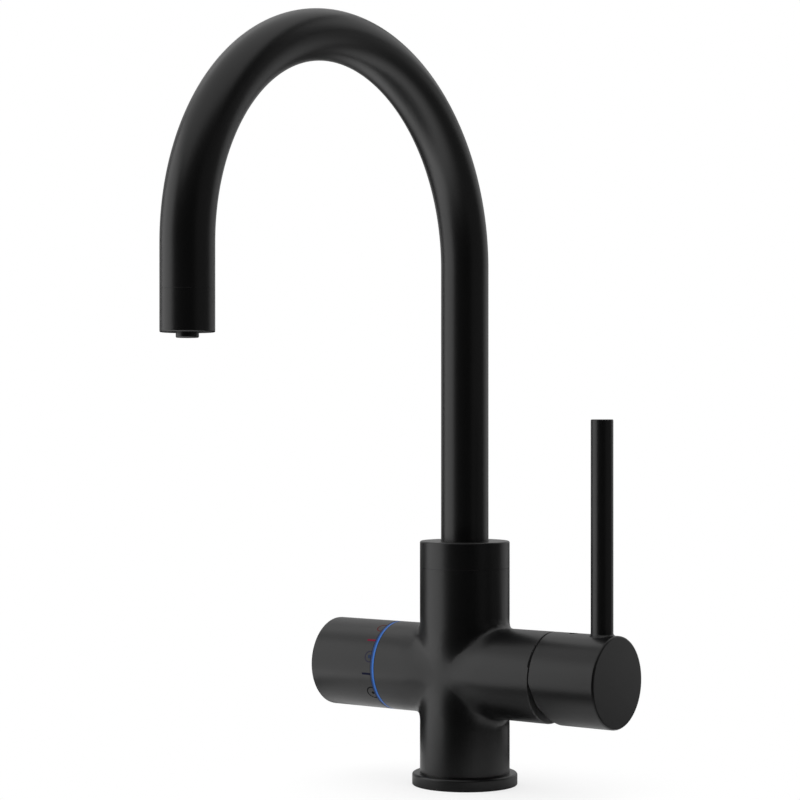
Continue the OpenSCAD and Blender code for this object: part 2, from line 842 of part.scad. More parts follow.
module lever_grub_screw() {
    tip = stem_side / 2 + stem_play;
    head = tip + grub_len;
    color(steel) lever_side() translate([0, 0, grub_s]) rotate([0, 90, 0]) difference() {
        bar(grub_r - fit, tip, head);
        translate([0, 0, head - key_depth]) cylinder(d = grub_d / 2, h = key_depth + over, $fn = 6);
    }
}

module indicator_ring() {
    color(blue) selector_side() ring(body_r, valve_r + fit, selector_arm_end, ring_end_s);
}

// Ports of the selector valve on its chamber floor
module at_valve_ports() {
    for (i = [0:hose_ports - 1]) if (!is_mixed(i))
        translate([valve_port_x(port_at(i).y), port_at(i).y]) children();
    translate([selector_outlet_x, 0]) children();
}

module selector_gasket() {
    color(rubber) selector_side() difference() {
        bar(valve_r - fit, valve_floor, valve_disc_s);
        at_valve_ports() bar(valve_port_r, valve_floor - over, valve_disc_s + over);
    }
}

module selector_fixed_disc() {
    color(ceramic) selector_side() difference() {
        bar(valve_disc_r - fit, valve_disc_s, turn_disc_s);
        at_valve_ports() bar(valve_port_r - valve_port_rim, valve_disc_s - over, turn_disc_s + over);
    }
}

module selector_moving_disc() {
    color(ceramic) selector_side() difference() {
        bar(valve_disc_r - fit, turn_disc_s, spindle_s);
        // Channel from the outlet in the middle to one port at a time
        translate([-valve_port_circle, -valve_port_r, turn_disc_s - over])
            cube([valve_port_circle + selector_outlet_x, 2 * valve_port_r, disc_t / 2 + over]);
    }
}

module selector_bonnet() {
    color(brass) selector_side() difference() {
        union() {
            bar(valve_r - fit, valve_disc_s, ring_end_s + over);
            translate([0, 0, ring_end_s]) cylinder(r = bonnet_hex_r, h = bonnet_hex_h, $fn = 6);
            bar(spindle_r + bonnet_neck_wall, bonnet_hex_s - over, bonnet_end_s);
        }
        bar(valve_disc_r, valve_disc_s - over, bonnet_roof_s);
        bar(spindle_r + fit, bonnet_roof_s - over, bonnet_end_s + over);
    }
}

module selector_spindle() {
    flat = spindle_r * spindle_flat;
    color(brass) selector_side() difference() {
        union() {
            bar(valve_disc_r - 2 * fit, spindle_s, spindle_s + spindle_flange_t);
            bar(spindle_r, spindle_s, spindle_end_s);
        }
        shaft_groove(spindle_r, spindle_ring_t, spindle_ring_s);
        ring(spindle_r + over, spindle_r - circlip_seat, circlip_s, circlip_end_s);
        for (side = [-1, 1]) translate([side * (flat + spindle_r) - spindle_r, -spindle_r - over, flat_s])
            cube([spindle_d, spindle_d + 2 * over, spindle_end_s]);
    }
}

module spindle_o_ring() {
    selector_side() shaft_seal(spindle_r, spindle_ring_t, spindle_ring_s);
}

module spindle_circlip() {
    inner_r = spindle_r - circlip_seat + circlip_play;
    color(steel) selector_side() difference() {
        ring(inner_r + circlip_w, inner_r, circlip_s + circlip_play, circlip_end_s - circlip_play);
        translate([0, -circlip_opening / 2, circlip_s - over])
            cube([spindle_d, circlip_opening, circlip_t + 2 * over]);
    }
}

module selector_knob() {
    flat = spindle_r * spindle_flat + fit;
    color(black) selector_side() difference() {
        union() {
            difference() {
                rounded_ring(body_r, 0, knob_s, knob_end_s, 0, knob_edge);
                bar(knob_in, knob_s - over, knob_floor_s);
            }
            bar(hub_r, knob_hub_s, knob_floor_s + over);
        }
        intersection() {
            bar(spindle_r + fit, flat_s, spindle_end_s + gap);
            translate([-flat, -spindle_d, flat_s]) cube([2 * flat, 2 * spindle_d, knob_len]);
        }
        translate([0, 0, knob_grub_s]) rotate([0, -90, 0]) bar(knob_grub_r, 0, body_r + over);
    }
}

module knob_grub_screw() {
    tip = spindle_r * spindle_flat + fit;
    head = hub_r + knob_grub_out;
    color(steel) selector_side() translate([0, 0, knob_grub_s]) rotate([0, -90, 0]) difference() {
        bar(knob_grub_r - fit, tip, head);
        translate([0, 0, head - knob_grub_r]) cylinder(d = knob_grub_r, h = knob_grub_r + over, $fn = 6);
    }
}

body_casting();
base_flange();
base_seal();
inlet_manifold();
manifold_seal();
spout_collar();
swivel_bush();
thrust_washer();
swivel_stop_pin();
tube_seal();
cartridge_base();
port_seals();
cartridge_case();
fixed_disc();
cartridge_nut();
cover_dome();
indicator_ring();
selector_gasket();
selector_fixed_disc();
selector_bonnet();
spout_tube();
spout_spigot();
spigot_o_rings();
inner_water_tube();
outlet_housing();
flow_insert();
outlet_washer();
outlet_nozzle();
cartridge_rotor();
stem_pin();
moving_disc();
disc_carrier();
lever_stem();
lever_cap();
lever_rod();
lever_grub_screw();
selector_knob();
selector_spindle();
selector_moving_disc();
spindle_o_ring();
spindle_circlip();
knob_grub_screw();
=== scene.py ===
"""Kitchen tap with a mixing lever and a treated water selector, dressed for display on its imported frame."""

import json
from math import cos, pi, radians, sin, tan

import bpy
from bpy.props import FloatProperty, FloatVectorProperty, IntProperty, PointerProperty
from bpy.types import Operator, Panel, PropertyGroup
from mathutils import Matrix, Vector


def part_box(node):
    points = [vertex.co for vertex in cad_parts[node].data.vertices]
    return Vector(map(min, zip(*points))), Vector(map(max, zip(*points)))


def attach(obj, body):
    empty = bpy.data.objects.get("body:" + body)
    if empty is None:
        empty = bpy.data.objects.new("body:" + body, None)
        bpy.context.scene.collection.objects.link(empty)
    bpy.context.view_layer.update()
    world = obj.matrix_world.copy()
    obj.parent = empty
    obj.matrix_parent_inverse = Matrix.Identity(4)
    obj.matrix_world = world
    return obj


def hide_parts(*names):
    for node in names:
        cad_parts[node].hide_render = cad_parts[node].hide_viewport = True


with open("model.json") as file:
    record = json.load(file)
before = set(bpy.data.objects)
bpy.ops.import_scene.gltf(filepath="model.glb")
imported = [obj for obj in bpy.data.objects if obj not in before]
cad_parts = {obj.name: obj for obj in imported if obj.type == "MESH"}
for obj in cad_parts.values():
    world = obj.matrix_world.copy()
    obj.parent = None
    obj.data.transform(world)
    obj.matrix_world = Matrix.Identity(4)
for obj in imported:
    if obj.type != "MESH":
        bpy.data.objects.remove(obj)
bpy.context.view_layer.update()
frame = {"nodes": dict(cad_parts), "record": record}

bl_info = {
    "name": "Kitchen Tap",
    "version": (1, 0, 0),
    "blender": (4, 5, 0),
    "location": "View3D > Sidebar > Tap",
    "description": "Builds a matt black kitchen tap on its packed frame",
    "category": "Object",
}

NEAR = 1e-6  # points this close are one, and pieces that touch are this far apart
PAST = 0.002  # how far a cutter reaches past the skin that it opens
X, Z = Vector((1, 0, 0)), Vector((0, 0, 1))

# The soft boxes: direction and height in degrees, distance, width and height in metres
SOFT_BOXES = {
    "left_box": (220, 5, 1.4, 1.6, 1.75),
    "left_low": (230, -36, 1.4, 1.5, 0.6),
    "right_fill": (8, 8, 1.4, 1.6, 1.2),
    "right_back_fill": (70, 5, 1.5, 1.1, 1.0),
    "right_high": (78, 42, 1.4, 1.3, 0.65),
    "back_fill": (130, 15, 1.5, 2.7, 1.0),
    "back_high": (150, 44, 1.4, 1.3, 0.7),
    "top_box": (233, 78, 1.35, 2.4, 2.4),
}

# Fades over the floor and the sky: where they start and end, and their first and last value
WHITE_AWAY = (0.03, 0.155, 0.7, 1.0)  # the floor turns plain white away from the tap
RIGHT_SHIFT = (-0.07, -0.02, 0.0, 0.025)  # in gloss, the floor darkens sooner on the right
DARK_AHEAD = (0.07, 0.13, 0.0, 1.0)  # in gloss, the floor is dark in front and behind
DARK_BESIDE = (0.115, 0.145, 0.0, 1.0)  # in gloss, the floor is dark past the arms' ends
DIM_MIDDLE = (0.022, 0.05, 0.6, 0.1)  # in gloss, the floor is dim round the column's foot
SWEEP_BELOW = (-0.35, -0.85)  # in gloss, the sky brightens downwards


# Places, taken from the frame


def low(node):
    """The lower corner of a node's box."""
    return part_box(node)[0]


def high(node):
    """The upper corner of a node's box."""
    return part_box(node)[1]


ARM_AXIS = Vector((0, 0, (low("lever_cap").z + high("lever_cap").z) / 2))
BODY_R = high("spout_collar").x
PIPE_R = high("spout_tube").x
ARCH_R = (high("spout_tube").y - low("spout_tube").y) / 2 - PIPE_R
ARCH_CENTRE = Vector((0, -ARCH_R, high("spout_tube").z - PIPE_R - ARCH_R))
TIP_AXIS = Vector((0, -2 * ARCH_R, 0))


def length(name, description, default):
    """A length in metres."""
    return FloatProperty(name=name, description=description, default=default, min=0, unit="LENGTH", precision=5)


def angle(name, description, degrees):
    """An angle, given in degrees and kept in radians."""
    return FloatProperty(name=name, description=description, default=radians(degrees), unit="ROTATION")


def count(name, description, default, most):
    """A number of facets or passes."""
    return IntProperty(name=name, description=description, default=default, min=1, max=most)


def brightness(name, description, default):
    """A lamp's radiance."""
    return FloatProperty(name=name, description=description, default=default, min=0)


def colour(name, description, default):
    """A plain colour."""
    return FloatVectorProperty(
        name=name, description=description, default=default, size=3, min=0, max=1, subtype="COLOR"
    )


class TapSizes(PropertyGroup):
    """Sizes of the visible pieces that the frame's boxes don't give."""

    steps: count("Steps", "Facets round a turned piece", 160, 360)
    edge_steps: count("Edge steps", "Facets across a rounded edge", 4, 8)
    break_edge: length("Broken edge", "Small chamfer on edges that meet at a seam", 0.0002)
    arm_edge: length("Arm edge", "Rounding of the arm's end beside the lever cap", 0.0007)
    crossing_grid: length("Crossing grid", "Size of the faces where the arms cross the column", 0.0016)
    crease_front: length("Front crease", "Reach of the soft blend in front and at the back", 0.015)
    crease_side: length("Side crease", "Reach of the soft blend above and below the arms", 0.003)
    crease_passes: count("Crease passes", "Strength of the soft blend", 50, 99)
    thread_pitch: length("Thread pitch", "Pitch of the threads in the brass foot", 0.0015)
    thread_depth: length("Thread depth", "Height up to which the foot's bores are threaded", 0.03)
    thread_relief: length("Thread relief", "Depth of the threads' grooves", 0.0005)
    flange_edge: length("Flange top edge", "Rounding of the base flange's top edge", 0.0012)
    flange_foot_edge: length("Flange foot edge", "Rounding of the base flange's foot", 0.0005)
    seal_groove: length("Seal groove", "Width of the groove of the base seal", 0.003)
    flange_bore: length("Flange bore", "Radius of the hole in the base flange", 0.02015)
    collar_edge: length("Collar edge", "Rounding of the collar's top edge", 0.0008)
    collar_roof: length("Collar roof", "Thickness of the collar's roof", 0.0045)
    collar_thread: length("Collar thread", "Radius inside the collar's thread", 0.02005)
    pipe_gap: length("Pipe gap", "Gap between the pipe and the collar", 0.0003)
    pipe_wall: length("Pipe wall", "Wall of the spout pipe", 0.0012)
    seam_edge: length("Seam edge", "Small chamfer at the outlet's seam and the knob's back edge", 0.00012)
    outlet_edge: length("Outlet edge", "Rounding of the outlet's lower edge", 0.0006)
    outlet_sleeve: length("Outlet sleeve", "Length of the outlet's sleeve in the pipe", 0.008)
    outlet_wall: length("Outlet wall", "Wall between the outlet's bore and the pipe's", 0.002)
    washer: length("Washer", "Thickness of the washer over the flow insert", 0.0015)
    nozzle_bore: length("Nozzle bore", "Radius of the hole through the nozzle", 0.003)
    nozzle_seat: length("Nozzle seat", "Radius of the seat of the inner tube", 0.00405)
    nozzle_rim: length("Nozzle rim", "Height of the rim that rests on the flow insert", 0.002)
    nozzle_radius: length("Nozzle radius", "Radius outside the nozzle", 0.0053)
    nozzle_plug: length("Nozzle plug", "Depth of the inner tube below the insert's top", 0.004)
    cap_edge: length("Cap edge", "Rounding of the lever cap's outer edge", 0.0011)
    cap_back_edge: length("Cap back edge", "Rounding of the lever cap's edge beside the arm", 0.0003)
    cap_wall: length("Cap wall", "Wall of the lever cap", 0.0024)
    cap_solid: length("Cap solid end", "Thickness of the lever cap's solid end", 0.0195)
    boss_radius: length("Boss radius", "Radius of the boss in the lever cap", 0.0079)
    boss_inset: length("Boss inset", "Distance from the cap's back edge to its boss", 0.0054)
    cap_slope: angle("Cap slope", "Slope of the cut under the cap", 19)
    grub_inset: length("Grub inset", "Distance from the cap's back edge to its grub screw", 0.0123)
    grub_hole: length("Grub hole", "Radius of the grub screw's hole in the cap", 0.0025)
    rod_pocket: length("Rod pocket", "Depth of the pocket round the rod's foot", 0.0025)
    rod_gap: length("Rod gap", "Gap between the rod and its pocket", 0.0003)
    rod_foot: length("Rod foot", "Radius of the fillet round the rod's foot", 0.001)
    rod_foot_steps: count("Rod foot steps", "Facets across the fillet round the rod's foot", 6, 16)
    rod_foot_sink: length("Rod foot sink", "How far the fillet round the rod's foot sinks into the cap", 0.0005)
    rod_foot_lap: length("Rod foot lap", "How far the fillet round the rod's foot reaches into the rod", 0.0002)
    rod_edge: length("Rod edge", "Rounding of the rod's top edge", 0.0006)
    rod_stud: length("Rod stud", "Radius of the stud under the rod", 0.004)
    rod_stud_length: length("Rod stud length", "Length of the stud under the rod", 0.015)
    knob_edge: length("Knob edge", "Rounding of the knob's outer edge", 0.001)
    knob_wall: length("Knob wall", "Wall of the knob", 0.0025)
    knob_end_wall: length("Knob end wall", "Thickness of the knob's end", 0.005)
    knob_hub: length("Knob hub", "Radius of the hub in the knob", 0.0075)
    knob_socket: length("Knob socket", "Radius of the spindle's hole in the hub", 0.004)
    bonnet_rim: length("Bonnet rim", "Width of the bonnet's rim that holds the indicator ring", 0.0035)
    knob_grub_hole: length("Knob grub hole", "Radius of the grub screw's hole in the knob", 0.002)
    ring_lap: length("Ring lap", "Width of the indicator ring's edge under the coat", 0.0005)
    ring_band: length("Ring band", "Width of the indicator ring's bright band with its coated edge", 0.0016)
    ring_step: length("Ring step", "Depth of the step beside the ring's bright band", 0.0001)
    ring_lip: length("Ring lip", "Length of the lip that closes the gap beside the knob", 0.0002)
    mark_line: length("Mark line", "Width of the lines of the printed rings", 0.00065)
    mark_dot: length("Mark dot", "Radius of the dot in the cold ring", 0.0009)
    middle_dot: length("Middle dot", "Radius of the dot in the middle ring", 0.00108)
    mark_height: length("Mark height", "How far the print stands out", 0.00004)
    tick_length: length("Tick length", "Length of the printed ticks", 0.0055)
    tick_width: length("Tick width", "Width of the printed ticks", 0.0011)
    hot_ring: length("Hot ring", "Radius of the red printed ring", 0.0031)
    warm_ring: length("Middle ring", "Radius of the grey printed ring", 0.0032)
    cold_ring: length("Cold ring", "Radius of the black printed ring", 0.0039)
    ring_offset: length("Ring offset", "Distance from the knob's edge to the printed rings' middle", 0.0009)
    hot_ring_turn: angle("Hot ring's turn", "Place of the hot ring above the knob's front", 61)
    hot_tick_turn: angle("Hot tick's turn", "Place of the hot tick above the knob's front", 38)
    middle_turn: angle("Middle ring's turn", "Place of the middle ring above the knob's front", 15.5)
    cold_tick_turn: angle("Cold tick's turn", "Place of the cold tick below the knob's front", -7)
    cold_ring_turn: angle("Cold ring's turn", "Place of the cold ring below the knob's front", -34)


class TapColours(PropertyGroup):
    """Colours of the finishes."""

    coat: colour("Coat", "Black powder coat", (0.0003, 0.0003, 0.0004))
    # Painted light: the arm's end face, in the gap under the lever cap, is painted lighter than the coat
    painted_light_end: colour("Painted light on arm end", "Arm's end behind the lever cap, where the coat is thin", (0.025, 0.025, 0.025))
    # Painted shade: the ring nut's outer face, in the gap under the lever cap, is painted near black
    painted_shade_nut: colour("Painted shade on nut", "Outer face of the cartridge's ring nut", (0.05, 0.05, 0.05))
    blue: colour("Blue", "Indicator ring", (0.004, 0.09, 0.36))
    # Painted shade: the darker blue on the step beside the ring's bright band
    painted_shade_blue: colour("Painted shade blue", "Step beside the indicator ring's bright band", (0.001, 0.026, 0.11))
    dark_red: colour("Dark red", "Hot ring", (0.08, 0.014, 0.014))
    crimson: colour("Crimson", "Hot tick", (0.13, 0.004, 0.022))
    grey: colour("Grey", "Line of the middle ring", (0.022, 0.02, 0.036))
    mid_blue: colour("Mid blue", "Dot of the middle ring", (0.015, 0.024, 0.055))
    dark_blue: colour("Dark blue", "Cold tick", (0.002, 0.003, 0.018))
    print_black: colour("Print black", "Black print on the knob", (0.001, 0.0008, 0.0014))
    brass: colour("Brass", "Turned brass", (0.72, 0.51, 0.23))
    steel: colour("Steel", "Turned stainless steel", (0.58, 0.575, 0.56))
    rubber: colour("Rubber", "Seals and washers", (0.018, 0.018, 0.018))
    white_plastic: colour("White plastic", "Cartridge and inner tube", (0.76, 0.76, 0.72))
    grey_plastic: colour("Grey plastic", "Flow insert and small guides", (0.14, 0.145, 0.155))
    ceramic: colour("Ceramic", "Lapped ceramic discs", (0.8, 0.79, 0.75))
    floor: colour("Floor", "Pale floor", (0.85, 0.85, 0.85))


class TapStudio(PropertyGroup):
    """Camera and lights."""

    eye: FloatVectorProperty(
        name="Eye", description="Place of the camera", default=(0.6797, -0.9555, 0.1940), size=3, subtype="XYZ"
    )
    heading: angle("Heading", "Direction of the camera", 37.12)
    lens: FloatProperty(name="Lens", description="Focal length", default=98.58, unit="CAMERA")
    shift: FloatProperty(name="Shift", description="Upward shift of the picture", default=0.0264)
    left_box: brightness("Left box", "Brightness of the left soft box", 1.4)
    left_low: brightness("Left reflector", "Brightness of the low left reflector", 1.1)
    right_fill: brightness("Right fill", "Brightness of the right fill", 0.13)
    right_high: brightness("Right high box", "Brightness of the high right box", 0.75)
    right_back_fill: brightness("Right back fill", "Brightness of the fill behind the tap's right side", 0.58)
    back_fill: brightness("Back fill", "Brightness of the back fill", 0.5)
    back_high: brightness("Back high box", "Brightness of the high box behind", 0.6)
    top_box: brightness("Top box", "Brightness of the overhead soft box", 0.8)
    room: brightness("Room", "Brightness of the room for matt surfaces", 0.8)
    room_gloss: brightness("Room in gloss", "Brightness of the room in gloss", 0.005)
    sweep: brightness("Sweep", "Brightness of the white sweep under the tap, in gloss", 1.35)


def sizes():
    """The sizes as they are set in the panel."""
    return bpy.context.scene.tap_sizes


def colours():
    """The colours as they are set in the panel."""
    return bpy.context.scene.tap_colours


# Modelling, by the same operators as by hand


def clear():
    """Leaves edit mode and deselects everything."""
    if bpy.context.object and bpy.context.object.mode != "OBJECT":
        bpy.ops.object.mode_set(mode="OBJECT")
    bpy.ops.object.select_all(action="DESELECT")


def take(piece):
    """Makes the piece the only selected and the active object."""
    clear()
    piece.select_set(True)
    bpy.context.view_layer.objects.active = piece


def start(name):
    """Names the new primitive and opens it for editing."""
    piece = bpy.context.object
    piece.name = piece.data.name = name
    bpy.ops.object.mode_set(mode="EDIT")
    bpy.ops.mesh.select_mode(type="VERT")
    bpy.ops.mesh.select_all(action="SELECT")
    return piece


def edit(piece, kind="EDGE"):
    """Opens the piece for editing with nothing selected."""
    take(piece)
    bpy.ops.object.mode_set(mode="EDIT")
    bpy.ops.mesh.select_mode(type=kind)
    bpy.ops.mesh.select_all(action="DESELECT")
    bpy.ops.object.mode_set(mode="OBJECT")


def close():
    """Merges doubled points, turns the faces outwards and leaves edit mode."""
    bpy.ops.mesh.select_all(action="SELECT")
    bpy.ops.mesh.remove_doubles(threshold=NEAR)
    bpy.ops.mesh.normals_make_consistent(inside=False)
    bpy.ops.object.mode_set(mode="OBJECT")


def turned(name, base, axis, out, outline, closed=True):
    """A turned solid: its half section, given as (radius, height) points, is extruded point by point and spun."""
    corners = [base + axis * height + out * radius for radius, height in outline]
    if closed:
        corners.append(corners[0])
    clear()
    bpy.ops.mesh.primitive_plane_add(size=BODY_R)
    piece = start(name)
    bpy.ops.mesh.merge(type="CENTER")
    bpy.ops.transform.translate(value=corners[0])
    for here, there in zip(corners, corners[1:]):
        bpy.ops.mesh.extrude_region_move(TRANSFORM_OT_translate={"value": there - here})
    bpy.ops.mesh.select_all(action="SELECT")
    bpy.ops.mesh.spin(steps=sizes().steps, angle=2 * pi, center=base, axis=axis)
    close()
    return piece


def round_edges(piece, test, width, steps=None):
    """Bevels the edges whose two ends pass the test."""
    edit(piece)
    points = piece.data.vertices
    found = 0
    for edge in piece.data.edges:
        if all(test(points[i].co) for i in edge.vertices):
            edge.select = True
            found += 1
    if not found:
        raise RuntimeError(f"{piece.name} has no edge to round")
    bpy.ops.object.mode_set(mode="EDIT")
    bpy.ops.mesh.bevel(
        offset_type="OFFSET", offset=width, segments=steps or sizes().edge_steps, profile=0.5, affect="EDGES"
    )
    bpy.ops.object.mode_set(mode="OBJECT")


def circle(base, axis, radius, height):
    """A test for points of the circle of this radius at this height over the base."""

    def test(point):
        arm = point - base
        up = arm.dot(axis)
        return abs(up - height) < 1e-5 and abs((arm - axis * up).length - radius) < 1e-5

    return test


def modify(piece, kind, **settings):
    """Adds a modifier and applies it."""
    take(piece)
    bpy.ops.object.modifier_add(type=kind)
    modifier = piece.modifiers[-1]
    for name, value in settings.items():
        setattr(modifier, name, value)
    bpy.ops.object.modifier_apply(modifier=modifier.name)


def cut(piece, cutter):
    """Takes the cutter's shape out of the piece."""
    modify(piece, "BOOLEAN", operation="DIFFERENCE", solver="EXACT", object=cutter)
    take(cutter)
    bpy.ops.object.delete()


def drill(piece, base, axis, out, outline):
    """Cuts a turned hole into the piece."""
    cut(piece, turned("drill", base, axis, out, outline))


def smooth(piece, sharp):
    """Smooths the round faces and keeps the edges sharp that turn by more degrees than this."""
    take(piece)
    bpy.ops.object.shade_smooth_by_angle(angle=radians(sharp))
    modify(piece, "WEIGHTED_NORMAL", keep_sharp=True, weight=75)


def settle(piece, body, slot, *nodes, material=None, sharp=32):
    """Smooths a finished piece, gives it its material and hangs it on its body in place of its CAD nodes."""
    smooth(piece, sharp)
    piece.data.materials.clear()
    piece.data.materials.append(material or FINISHES[slot])
    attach(piece, body)
    if nodes:
        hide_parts(*nodes)


def copy_of(node, name):
    """A copy of a CAD node's mesh with its loose triangles joined."""
    clear()
    source = frame["nodes"][node]
    piece = bpy.data.objects.new(name, source.data.copy())
    for key in list(piece.keys()):
        del piece[key]
    bpy.context.collection.objects.link(piece)
    take(piece)
    bpy.ops.object.mode_set(mode="EDIT")
    bpy.ops.mesh.select_all(action="SELECT")
    bpy.ops.mesh.remove_doubles(threshold=NEAR)
    bpy.ops.mesh.customdata_custom_splitnormals_clear()
    bpy.ops.mesh.faces_shade_flat()
    bpy.ops.object.mode_set(mode="OBJECT")
    return piece


# Materials


class Field:
    """A socket whose value varies; sums written with it add Math nodes."""

    def __init__(self, nodes, socket):
        self.nodes = nodes
        self.socket = socket

    def __add__(self, other):
        return self.nodes.math("ADD", self, other)

    def __sub__(self, other):
        return self.nodes.math("SUBTRACT", self, other)

    def __rsub__(self, other):
        return self.nodes.math("SUBTRACT", other, self)

    def __mul__(self, other):
        return self.nodes.math("MULTIPLY", self, other)

    def __truediv__(self, other):
        return self.nodes.math("DIVIDE", self, other)

    def __gt__(self, other):
        return self.nodes.math("GREATER_THAN", self, other)

    def __lt__(self, other):
        return self.nodes.math("LESS_THAN", self, other)

    __radd__ = __add__
    __rmul__ = __mul__


class Nodes:
    """A node tree that is put together node by node."""

    def __init__(self, tree):
        self.tree = tree

    def feed(self, socket, value):
        """Sets a socket to a plain value, or links it to one that varies."""
        if isinstance(value, Field):
            self.tree.links.new(value.socket, socket)
        else:
            socket.default_value = value

    def node(self, kind, settings=None, values=None, output=0):
        """Adds a node, its settings first, then the values or links of its sockets."""
        node = self.tree.nodes.new(kind)
        for name, value in (settings or {}).items():
            setattr(node, name, value)
        for socket, value in (values or {}).items():
            self.feed(node.inputs[socket], value)
        return None if output is None else Field(self, node.outputs[output])

    def math(self, operation, *values):
        """A Math node on these values."""
        return self.node("ShaderNodeMath", {"operation": operation}, dict(enumerate(values)))

    def fade(self, value, start, end, first, last):
        """Goes smoothly from first to last while the value goes from start to end."""
        return self.node(
            "ShaderNodeMapRange", {"interpolation_type": "SMOOTHSTEP"}, {0: value, 1: start, 2: end, 3: first, 4: last}
        )

    def rays(self):
        """Whether the light ray comes from the camera, from gloss and through glass."""
        path = self.node("ShaderNodeLightPath").socket.node
        return (Field(self, path.outputs[f"Is {kind} Ray"]) for kind in ("Camera", "Glossy", "Transmission"))


class Finish(Nodes):
    """A material: the constants go on the shader's own sockets, and what varies is added node by node."""

    def __init__(self, name, base, roughness, metallic=0.0, **settings):
        self.material = bpy.data.materials.new(name)
        self.material.use_nodes = True
        super().__init__(self.material.node_tree)
        self.shader = self.tree.nodes["Principled BSDF"]
        self.set("Base Color", (*base, 1))
        self.set("Roughness", roughness)
        self.set("Metallic", metallic)
        for socket, value in settings.items():
            self.set(socket.replace("_", " "), value)
        self.place = self.node("ShaderNodeTexCoord", output="Object")

    def set(self, socket, value):
        """Sets or links one of the shader's sockets."""
        self.feed(self.shader.inputs[socket], value)

    def noise(self, size, detail=2.0, stretch=(1, 1, 1)):
        """Noise whose spots are about this large."""
        place = self.node("ShaderNodeMapping", {}, {"Vector": self.place, "Scale": stretch}, "Vector")
        return self.node(
            "ShaderNodeTexNoise", {}, {"Vector": place, "Scale": 1 / size, "Detail": detail, "Roughness": 0.55}
        )

    def part(self, axis):
        """One coordinate of the place."""
        return self.node("ShaderNodeSeparateXYZ", {}, {"Vector": self.place}, axis)

    def mix(self, share, first, second):
        """A colour between two colours, plain or varying."""
        first, second = (shade if isinstance(shade, Field) else (*shade, 1) for shade in (first, second))
        return self.node("ShaderNodeMix", {"data_type": "RGBA"}, {0: share, 6: first, 7: second}, 2)

    def bump(self, height, distance):
        """Relief of this height in metres."""
        self.set("Normal", self.node("ShaderNodeBump", {}, {"Height": height, "Distance": distance}))


def scaled(shade, factor):
    """The shade, lighter or darker."""
    return tuple(min(1, part * factor) for part in shade)


def coat_finish():
    """Fine-grained black powder coat with faint clouds in its sheen, and painted light on the arm's end face beside
    the lever cap.
    """
    shade = tuple(colours().coat)
    finish = Finish("black_coat_fine", shade, 0.34)
    clouds = finish.noise(0.03, 3)
    grain = finish.noise(0.00035, 1)
    end = high("body_casting").x
    # Painted light: a band at the arm's end face, seen in the gap under the lever cap, gets a lighter colour than the
    # coat
    painted_light = (finish.part("X") > end - 0.0001) * (finish.part("X") < end + 0.0001)
    full = finish.mix(clouds, scaled(shade, 0.85), scaled(shade, 1.15))
    finish.set("Base Color", finish.mix(painted_light, full, tuple(colours().painted_light_end)))
    finish.set("Roughness", 0.31 + clouds * 0.04 + grain * 0.02)
    finish.bump(grain + finish.noise(0.0011, 1) * 0.6, 0.000012)
    return finish.material


def metal_finish(name, shade, roughness):
    """Turned metal with fine rings left by the tool."""
    finish = Finish(name, shade, roughness, 1.0)
    clouds = finish.noise(0.012)
    rings = finish.noise(0.0004, 1, (0.02, 0.02, 1))
    finish.set("Base Color", finish.mix(clouds, scaled(shade, 0.86), shade))
    finish.set("Roughness", roughness - 0.06 + clouds * 0.12)
    finish.bump(rings, 0.00001)
    return finish.material


def brass_finish():
    """Turned brass, painted near black as painted shade where the ring nut shows in the gap behind the lever cap, and
    threaded in the foot's bores.
    """
    s, shade = sizes(), tuple(colours().brass)
    finish = Finish("brass_turned", shade, 0.3, 1.0)
    clouds = finish.noise(0.012)
    plain = finish.mix(clouds, scaled(shade, 0.82), shade)
    # Painted shade: brass past the arm's end, in the gap under the lever cap, is painted near black
    painted_shade_zone = finish.part("X") > high("body_casting").x - 0.001
    finish.set("Base Color", finish.mix(painted_shade_zone, plain, tuple(colours().painted_shade_nut)))
    finish.set("Roughness", 0.24 + clouds * 0.14)
    height = finish.part("Z")
    ridges = finish.math("PINGPONG", height / s.thread_pitch, 0.5)
    finish.bump(ridges * (height < s.thread_depth), 2 * s.thread_relief)
    return finish.material


def blue_finish():
    """Satin blue, with painted shade on the step beside the knob; the casting's coat laps over the arm's side."""
    s, c = sizes(), colours()
    finish = Finish("blue_satin", tuple(c.blue), 0.38, Specular_IOR_Level=0.3)
    start = high("indicator_ring").x
    clouds = finish.noise(0.01)
    band = finish.part("X") > start - s.ring_band - 0.00005
    lap = finish.part("X") > start - s.ring_lap
    bright = finish.mix(clouds, scaled(c.blue, 0.95), scaled(c.blue, 1.05))
    # Painted shade: outside the bright band, the step beside the knob gets a darker blue
    finish.set("Base Color", finish.mix(lap, finish.mix(band, tuple(c.painted_shade_blue), bright), tuple(c.coat)))
    finish.set("Roughness", 0.42 - band * 0.06 + clouds * 0.06)
    finish.bump(finish.noise(0.0005, 1), 0.000008)
    return finish.material


def plastic_finish(name, shade, roughness=0.42, grain=0.0006):
    """Moulded plastic or rubber with a faint grain."""
    finish = Finish(name, shade, roughness)
    clouds = finish.noise(0.01)
    finish.set("Base Color", finish.mix(clouds, scaled(shade, 0.92), scaled(shade, 1.04)))
    finish.set("Roughness", roughness - 0.04 + clouds * 0.08)
    finish.bump(finish.noise(grain, 1), 0.000015)
    return finish.material


